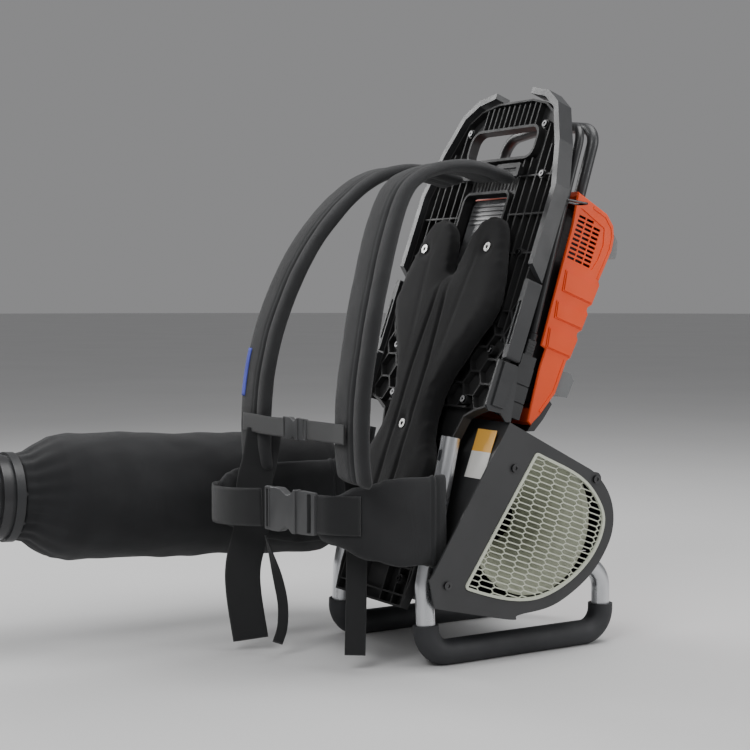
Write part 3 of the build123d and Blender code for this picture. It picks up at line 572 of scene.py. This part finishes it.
def back_pad():
    """The pad swells, then gets two sewn channels down its middle, one up each horn, and creases below."""
    pad = cad_copy("back_pad", "back_pad_cover", MATS["pad_fabric"])
    remesh(pad, PAD_VOXEL)
    smooth_mesh(pad, 6)
    inflate(pad, 0.005, shrink=0.0005)
    subdivide(pad)
    p = unlean(coords(pad))
    x, h = np.abs(p[:, 0]), p[:, 2]
    front = ramp_down(p[:, 1], -8, 8)
    channel = 9 + 9 * ramp_down(h, PAD_CHANNELS_TOP, 120)
    span = ramp_down(h, PAD_CHANNELS_TOP, 40) * ramp_up(h, PAD_CHANNELS_LOW, 60)
    depth = 3.2 * groove(x - channel, 3.2) * span
    horn = 34 + 20 * ramp_up(h, 420, 160)
    depth += 0.8 * groove(x - horn, 5.0) * ramp_up(h, PAD_HORNS_LOW, 60) * ramp_down(h, PAD_HORNS_TOP, 60)
    crease = fold_noise(p * np.array([1.0, 0.4, 0.55]), 0.045, 3.0)
    depth += 1.3 * np.clip(crease, -1, 1) * ramp_down(h, PAD_CREASES_TOP, 120)
    p[:, 1] += depth * front
    set_coords(pad, relean(p))
    shade(pad)
    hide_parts("back_pad")
    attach(pad, "pack")


# ---- shoulder straps ----
STRAPS = {
    "left": [
        (48, 214, 667), (60, 166, 679), (66, 111, 680), (71, 69, 668), (75, 40, 655), (81, 18, 612),
        (92, -2, 572), (102, -18, 530), (112, -34, 488), (118, -46, 440), (121, -56, 392),
        (121, -58, 345), (120, -57, 298), (117, -50, 276),
    ],
    "right": [
        (-48, 214, 667), (-60, 166, 681), (-66, 118, 683), (-74, 82, 670), (-84, 56, 648), (-92, 28, 617),
        (-100, 3, 582), (-107, -17, 543), (-112, -35, 500), (-115, -50, 455), (-117, -60, 410),
        (-117.5, -66, 365), (-117.5, -67, 320), (-117, -66, 292), (-116, -64, 272),
    ],
}


STRAP_HALF = 38.0
STRAP_SEAM = 10.0
PANEL_THICK, ROLL_THICK, SEAM_THICK = 7.6, 9.2, 2.2
STITCH_INSET, STITCH_WIDTH, STITCH_DEPTH = 9.0, 1.6, 0.8
STRAP_BACK = 0.8
STRAP_STEP = 0.004
STRAP_RELAX = 70
TAG_LOW, TAG_TOP = 0.340, 0.408


def strap_height(u):
    """Half thickness across the strap: a wide padded panel, a deep seam, and a stuffed roll beyond it."""
    if u > STRAP_SEAM:
        half = (STRAP_HALF - STRAP_SEAM) / 2
        t = (u - STRAP_SEAM - half) / half
        return max(SEAM_THICK * (t < 0), ROLL_THICK * max(0.0, 1 - t * t) ** 0.5)
    half = (STRAP_HALF + STRAP_SEAM) / 2
    t = (u + STRAP_HALF - half) / half
    stitch = STITCH_DEPTH * max(0.0, 1 - abs(u - STRAP_SEAM + STITCH_INSET) / STITCH_WIDTH)
    return max(SEAM_THICK * (t > 0), PANEL_THICK * max(0.0, 1 - abs(t) ** 3) ** 0.5 - stitch)


def strap_section():
    n = 76
    us = [-STRAP_HALF * cos(pi * i / n) for i in range(n + 1)]
    top = [(u / 1000, strap_height(u) / 1000) for u in us]
    bottom = [(u, -v * STRAP_BACK) for u, v in reversed(top[1:-1])]
    return top + bottom


def relaxed(path, times):
    """Rounds a dense path while keeping its ends."""
    p = [Vector(q) for q in path]
    for _ in range(times):
        p = [p[0]] + [(p[i - 1] + p[i] * 2 + p[i + 1]) / 4 for i in range(1, len(p) - 1)] + [p[-1]]
    return p


def strap_path(tag):
    rough = even(flow([W(*p) for p in STRAPS[tag]], 400), STRAP_STEP)
    return even(relaxed(rough, STRAP_RELAX), STRAP_STEP)


def strap_swell(t):
    """The strap narrows and flattens at its two ends."""
    end = min(1.0, t / 0.012, (1 - t) / 0.012)
    return (0.86 + 0.14 * end ** 0.5, 0.35 + 0.65 * end ** 0.5)


def shoulder_straps():
    for tag in STRAPS:
        body = loft("shoulder_strap_cover_" + tag, strap_path(tag), (1, 0, 0), strap_section(),
                    MATS["strap_fabric"], swell=strap_swell)
        co = coords(body)
        ruck = fold_noise(co * np.array([1.0, 1.0, 0.55]), 34.0, 5.0) * 0.0007
        ruck += fold_noise(co, 75.0, 2.0) * 0.0003
        co += normals(body) * ruck[:, None]
        set_coords(body, co)
        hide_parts("shoulder_strap_" + tag)
        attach(body, "pack")


def strap_tag():
    """Plain sewn-on tag on the front of the right strap, along its outer edge."""
    path = [p for p in strap_path("right") if TAG_LOW < p.z < TAG_TOP]
    us = [-STRAP_HALF + 0.5 + 1.5 * i for i in range(12)]
    outer = [(u / 1000, (strap_height(u) + 1.3) / 1000) for u in us]
    inner = [(u / 1000, (strap_height(u) - 0.4) / 1000) for u in reversed(us)]
    label = loft("strap_tag", path, (1, 0, 0), outer + inner, TAG)
    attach(label, "pack")


# ---- hip belt, chest strap and loose ends ----
HIP_WEB, CHEST_WEB = 50.0, 25.0
BELT_Z, CHEST_Z = 235, 339
UPRIGHT = (0, 0, 1)
FACING = (0.53, 0.85, 0.0)
WING_SEAM, WING_PIPING, WING_SECOND_SEAM = 60.5, 56.8, 53.0


def hip_wing(tag):
    """Padded wing: the cover swells, then gets two rear seams with a piping roll between them."""
    wing = cad_copy("hip_wing_" + tag, "hip_wing_cover_" + tag, MATS["hip_fabric"])
    remesh(wing, WING_VOXEL)
    smooth_mesh(wing, 9)
    inflate(wing, 0.0035)
    smooth_mesh(wing, 3)
    subdivide(wing)
    co = coords(wing)
    y = co[:, 1] * 1000 - ORIGIN[1]
    n = normals(wing)
    flat = np.abs(n[:, 2]) < 0.55
    seam = groove(y - WING_SEAM, 1.8) * 2.0 + groove(y - WING_SECOND_SEAM, 1.5)
    seam -= groove(y - WING_PIPING, 2.6) * 1.5
    ruck = fold_noise(co * np.array([1.0, 1.2, 0.45]), 22.0, 9.0) * 1.1
    co -= n * ((seam - ruck * flat) / 1000)[:, None]
    set_coords(wing, co)
    shade(wing)
    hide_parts("hip_wing_" + tag)
    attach(wing, "pack")


def ribbon_section(width, thick):
    """Flat webbing with thinner selvedges."""
    half, t, n = width / 2000, thick / 2000, 12
    top = [(-half + 2 * half * i / n, t * (1.0 if 0 < i < n else 0.45)) for i in range(n + 1)]
    return top + [(u, -v) for u, v in reversed(top)]


def webbing(name, points, width, across, thick=1.7):
    path = even(flow([W(*p) for p in points], 240), 0.004)
    return loft(name, path, across, ribbon_section(width, thick), MATS["webbing"])


def hip_belt():
    hip_wing("left")
    hip_wing("right")
    near = webbing("hip_web_left_strap", [
        (117.8, -43, BELT_Z), (109, -54, BELT_Z), (98, -65, BELT_Z), (87, -73.5, BELT_Z), (77, -78, BELT_Z),
        (66, -82, BELT_Z),
    ], HIP_WEB, UPRIGHT)
    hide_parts("hip_web_left")
    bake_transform(near)
    far = webbing("hip_web_right_strap", [
        (-136, 0, 235), (-136.2, -40, 235), (-135, -82, 235), (-130, -112, 235), (-118, -132, 234),
        (-98, -138.5, 233), (-70, -132.5, 233), (-44, -120.5, 234), (-24, -107.5, 235),
    ], HIP_WEB, UPRIGHT)
    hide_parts("hip_web_right")
    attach(far, "pack")


def chest_strap():
    near = webbing("chest_web_near", [
        (124, -69.5, CHEST_Z), (96, -69.8, CHEST_Z), (72, -71, CHEST_Z), (50, -72.5, CHEST_Z),
        (34, -74, CHEST_Z),
    ], CHEST_WEB, UPRIGHT, 1.5)
    far = webbing("chest_web_far", [
        (-128, -80, 339), (-100, -80.5, 339), (-70, -79.6, 338), (-40, -78, 338), (-14, -77.5, 339),
    ], CHEST_WEB, UPRIGHT, 1.5)
    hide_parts("chest_webbing")
    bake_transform(near)
    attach(far, "pack")


def thin_tail_across(t):
    """The thin end twists as it falls."""
    k = min(1.0, t / 0.55)
    return (1 - 0.47 * k, -0.4 + 1.25 * k, 0.1 - 0.1 * k)


def tails():
    near = webbing("tail_near", [
        (84, -34, 288), (78, -26, 256), (74, -22, 200), (76, -24, 150), (78, -26, 100), (79, -28, 50),
    ], 27, FACING)
    far = webbing("tail_far", [
        (-94, -66, 330), (-92, -74, 290), (-90, -84, 256), (-90, -88, 200), (-97, -97, 150),
        (-97, -97, 110), (-92, -89, 46),
    ], 48, FACING)
    thin = webbing("tail_thin", [
        (-66, -80, 190), (-58, -74, 160), (-48, -70, 130), (-40, -68, 100), (-38, -70, 70), (-44, -74, 48),
    ], 14, thin_tail_across, 1.5)
    tail = join("web_tail_straps", [near, far, thin])
    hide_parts("web_tails")
    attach(tail, "pack")


# ---- buckles ----
CORNER_STEPS = 5


def rounded_poly(points, radius):
    """Rounds the corners of a closed outline; radius is one number or one for each corner."""
    out = []
    n = len(points)
    for i, q in enumerate(points):
        r = radius[i] if isinstance(radius, list) else radius
        q = Vector(q)
        a, b = Vector(points[i - 1]) - q, Vector(points[(i + 1) % n]) - q
        k = min(r, a.length * 0.45, b.length * 0.45)
        start, end = q + a.normalized() * k, q + b.normalized() * k
        for j in range(CORNER_STEPS + 1):
            t = j / CORNER_STEPS
            out.append((1 - t) ** 2 * start + 2 * t * (1 - t) * q + t * t * end)
    return out


def plate(name, outline, holes, thick, round_over, place, crown=0.0):
    """Moulded plate: an outline with holes, extruded and rounded over, put in place by a function."""
    bm = bmesh.new()
    edges = []
    for loop in [outline] + holes:
        vs = [bm.verts.new((p[0], 0.0, p[1])) for p in loop]
        edges += [bm.edges.new((vs[i - 1], vs[i])) for i in range(len(vs))]
    bmesh.ops.triangle_fill(bm, use_beauty=True, edges=edges, normal=(0, -1, 0))
    bmesh.ops.dissolve_limit(bm, angle_limit=0.01, verts=bm.verts, edges=bm.edges)
    made = bmesh.ops.extrude_face_region(bm, geom=list(bm.faces))
    top = [g for g in made["geom"] if isinstance(g, bmesh.types.BMVert)]
    for v in bm.verts:
        v.co.y = thick
    for v in top:
        v.co.y = -thick
    bmesh.ops.recalc_face_normals(bm, faces=bm.faces)
    mesh = bpy.data.meshes.new(name)
    bm.to_mesh(mesh)
    bm.free()
    obj = bpy.data.objects.new(name, mesh)
    bpy.context.scene.collection.objects.link(obj)
    mod = obj.modifiers.new("bevel", "BEVEL")
    mod.width = round_over
    mod.segments = 3
    mod.limit_method = "ANGLE"
    mod.angle_limit = radians(40)
    apply_all(obj)
    co = coords(obj)
    edge = np.abs(co[:, 2]).max()
    co[:, 1] *= 1 + crown * np.cos(co[:, 2] / edge * pi / 2)
    set_coords(obj, np.array([place(*c) for c in co]))
    obj.data.materials.append(MATS["buckle_plastic"])
    fix_normals(obj)
    shade(obj)
    return obj


def box_outline(u0, u1, v):
    return [(u0, -v), (u0, v), (u1, v), (u1, -v)]


def buckle(tag, centre, turn, scale, web):
    """Side-release buckle: waisted body with two web bars, plug with a slotted bar and two prongs."""
    a = radians(turn)
    e = web / 2 / scale + 3.5
    slot = web / 2 / scale

    def place(u, w, v):
        x, y = centre[0] + u * cos(a) - w * sin(a), centre[1] + u * sin(a) + w * cos(a)
        return W(x, y, centre[2] + v)

    def moulding(part, points, radius, thick, edge, holes=(), crown=0.0):
        loops = [[q * scale for q in rounded_poly(*shape)] for shape in [(points, radius)] + list(holes)]
        return plate(tag + part, loops[0], loops[1:], thick * scale, edge * scale, place, crown)

    shell = moulding("_body", [
        (-34, -e), (-34, e), (-16, e), (-10, e - 3.5), (-2, e - 8), (7, e - 6), (11, e), (14.6, e),
        (14.6, -e), (8, -e), (4, -e + 5), (-4, -e + 8), (-11, -e + 3.5), (-16, -e),
    ], [2, 2, 3, 5, 5, 4, 2, 2, 2, 3, 4, 5, 5, 3], 6.2, 1.7, crown=0.12)
    ladder = moulding("_bars", box_outline(-48, -33, e), 3, 3.3, 1.1, holes=[
        (box_outline(-45, -41.2, slot), 1.3), (box_outline(-38, -34.6, slot), 1.3),
    ])
    socket = join(tag + "_socket_moulding", [shell, ladder])
    shade(socket)
    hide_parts(tag + "_socket")
    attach(socket, "pack")
    tail = moulding("_tail", [
        (15.2, -e + 1.5), (15.2, e - 1.5), (22, e - 0.5), (49, e - 1.5), (49, -e + 1.5), (22, -e + 0.5),
    ], 3, 3.5, 1.3, holes=[(box_outline(35.5, 43, slot), 1.5)])
    prongs = []
    for side in (1, -1):
        prongs.append(moulding("_prong", [
            (20, side * 6), (18, side * (e - 5.5)), (0, side * (e - 9)), (-14, side * (e - 11)),
            (-16, side * (e - 14)), (4, side * 6),
        ], 1.5, 3.2, 0.6))
    plug = join(tag + "_plug_moulding", [tail] + prongs)
    shade(plug)
    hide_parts(tag + "_plug")
    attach(plug, tag.split("_")[0] + "_plug")


# ---- fabric sleeve round the hose ----
SLEEVE_PROFILE = [
    (100, 84.5), (106, 87.5), (116, 88.2), (200, 88.4), (300, 88.2), (420, 88.0), (494, 87.6),
    (520, 83), (540, 72), (556, 61.5), (572, 58.2),
]
SLEEVE_MAX = 88.5
SLEEVE_HEM = 118
SLEEVE_GATHERS = 22


def sleeve_radius(d, a):
    """Radius at distance d ahead of the fan axis and angle a: soft folds, a hem, and gathers at the tie."""
    wave = noise.noise(Vector((cos(a) * 1.7, -d * 0.028, sin(a) * 1.7))) * 2.2
    small = Vector((cos(a) * 3.5 - d * 0.01, -d * 0.016, sin(a) * 3.5))
    wave += noise.noise(small + Vector((7, 7, 7))) * 1.2
    gather = ramp_up(d, 505, 50) * ramp_down(d, 590, 30)
    wave += sin(a * SLEEVE_GATHERS + 1.5 * sin(a * 3)) * 1.3 * gather
    wave -= 1.2 * max(0.0, 1 - abs(d - SLEEVE_HEM) / 2.5)
    ds, rs = zip(*SLEEVE_PROFILE)
    return min(SLEEVE_MAX, float(np.interp(d, ds, rs)) + wave - 1.2)


def hose_sleeve():
    rows, around = ((150, 120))
    start, end = SLEEVE_PROFILE[0][0], SLEEVE_PROFILE[-1][0]
    verts, uvs = [], []
    for i in range(rows):
        d = start + (end - start) * i / (rows - 1)
        for j in range(around):
            a = 2 * pi * j / around
            r = sleeve_radius(d, a)
            verts.append(H(HOSE_X + r * cos(a), -d, r * sin(a)))
            uvs.append((a * 0.088, d / 1000))
    sleeve = link("hose_sleeve_cover", verts, tube_faces(rows, around), MATS["hose_fabric"], uvs)
    fix_normals(sleeve)
    mod = sleeve.modifiers.new("thick", "SOLIDIFY")
    mod.thickness = 0.0022
    mod.offset = -1
    apply_all(sleeve)
    shade(sleeve)
    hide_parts("hose_sleeve")
    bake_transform(sleeve)


# ---- stage and light ----
FLOOR_RADIUS = 30.0
LIGHT_TARGET = (0.1, 0.5, 0.4)


def stage():
    floor_mat = Nodes("floor_paper", (0.66, 0.66, 0.66), 0.8)
    floor_mat.vary(floor_mat.noise(1.5, 2.0), 0.98, 1.02)
    n = 64
    verts = [(FLOOR_RADIUS * cos(2 * pi * i / n), FLOOR_RADIUS * sin(2 * pi * i / n), 0.0) for i in range(n)]
    floor = link("floor", verts, [tuple(range(n))], floor_mat.mat, smooth=False)
    world = bpy.data.worlds.new("world")
    bpy.context.scene.world = world
    world.use_nodes = True
    bg = world.node_tree.nodes["Background"]
    bg.inputs["Color"].default_value = (0.62, 0.62, 0.63, 1)
    bg.inputs["Strength"].default_value = 0.42


def area(name, place, size, power):
    data = bpy.data.lights.new(name, "AREA")
    data.shape = "RECTANGLE"
    data.size, data.size_y = size
    data.energy = power
    obj = bpy.data.objects.new(name, data)
    bpy.context.scene.collection.objects.link(obj)
    obj.location = place
    obj.rotation_euler = (Vector(LIGHT_TARGET) - Vector(place)).to_track_quat("-Z", "Y").to_euler()


def lights():
    area("key", (1.3, -1.5, 2.3), (1.3, 1.3), 38)
    area("top", (0.3, 1.1, 2.7), (1.8, 1.8), 48)
    area("rim_right", (1.9, 2.1, 1.3), (0.9, 1.6), 20)
    area("rim_left", (-1.9, -0.3, 1.7), (0.9, 1.6), 34)


back_pad()
shoulder_straps()
strap_tag()
hip_belt()
chest_strap()
tails()
buckle("hip_buckle", (25, -92, BELT_Z), 12.0, 1.0, HIP_WEB)
buckle("chest_buckle", (10, -76, CHEST_Z), 5.0, 0.55, CHEST_WEB)
hose_sleeve()
stage()
lights()
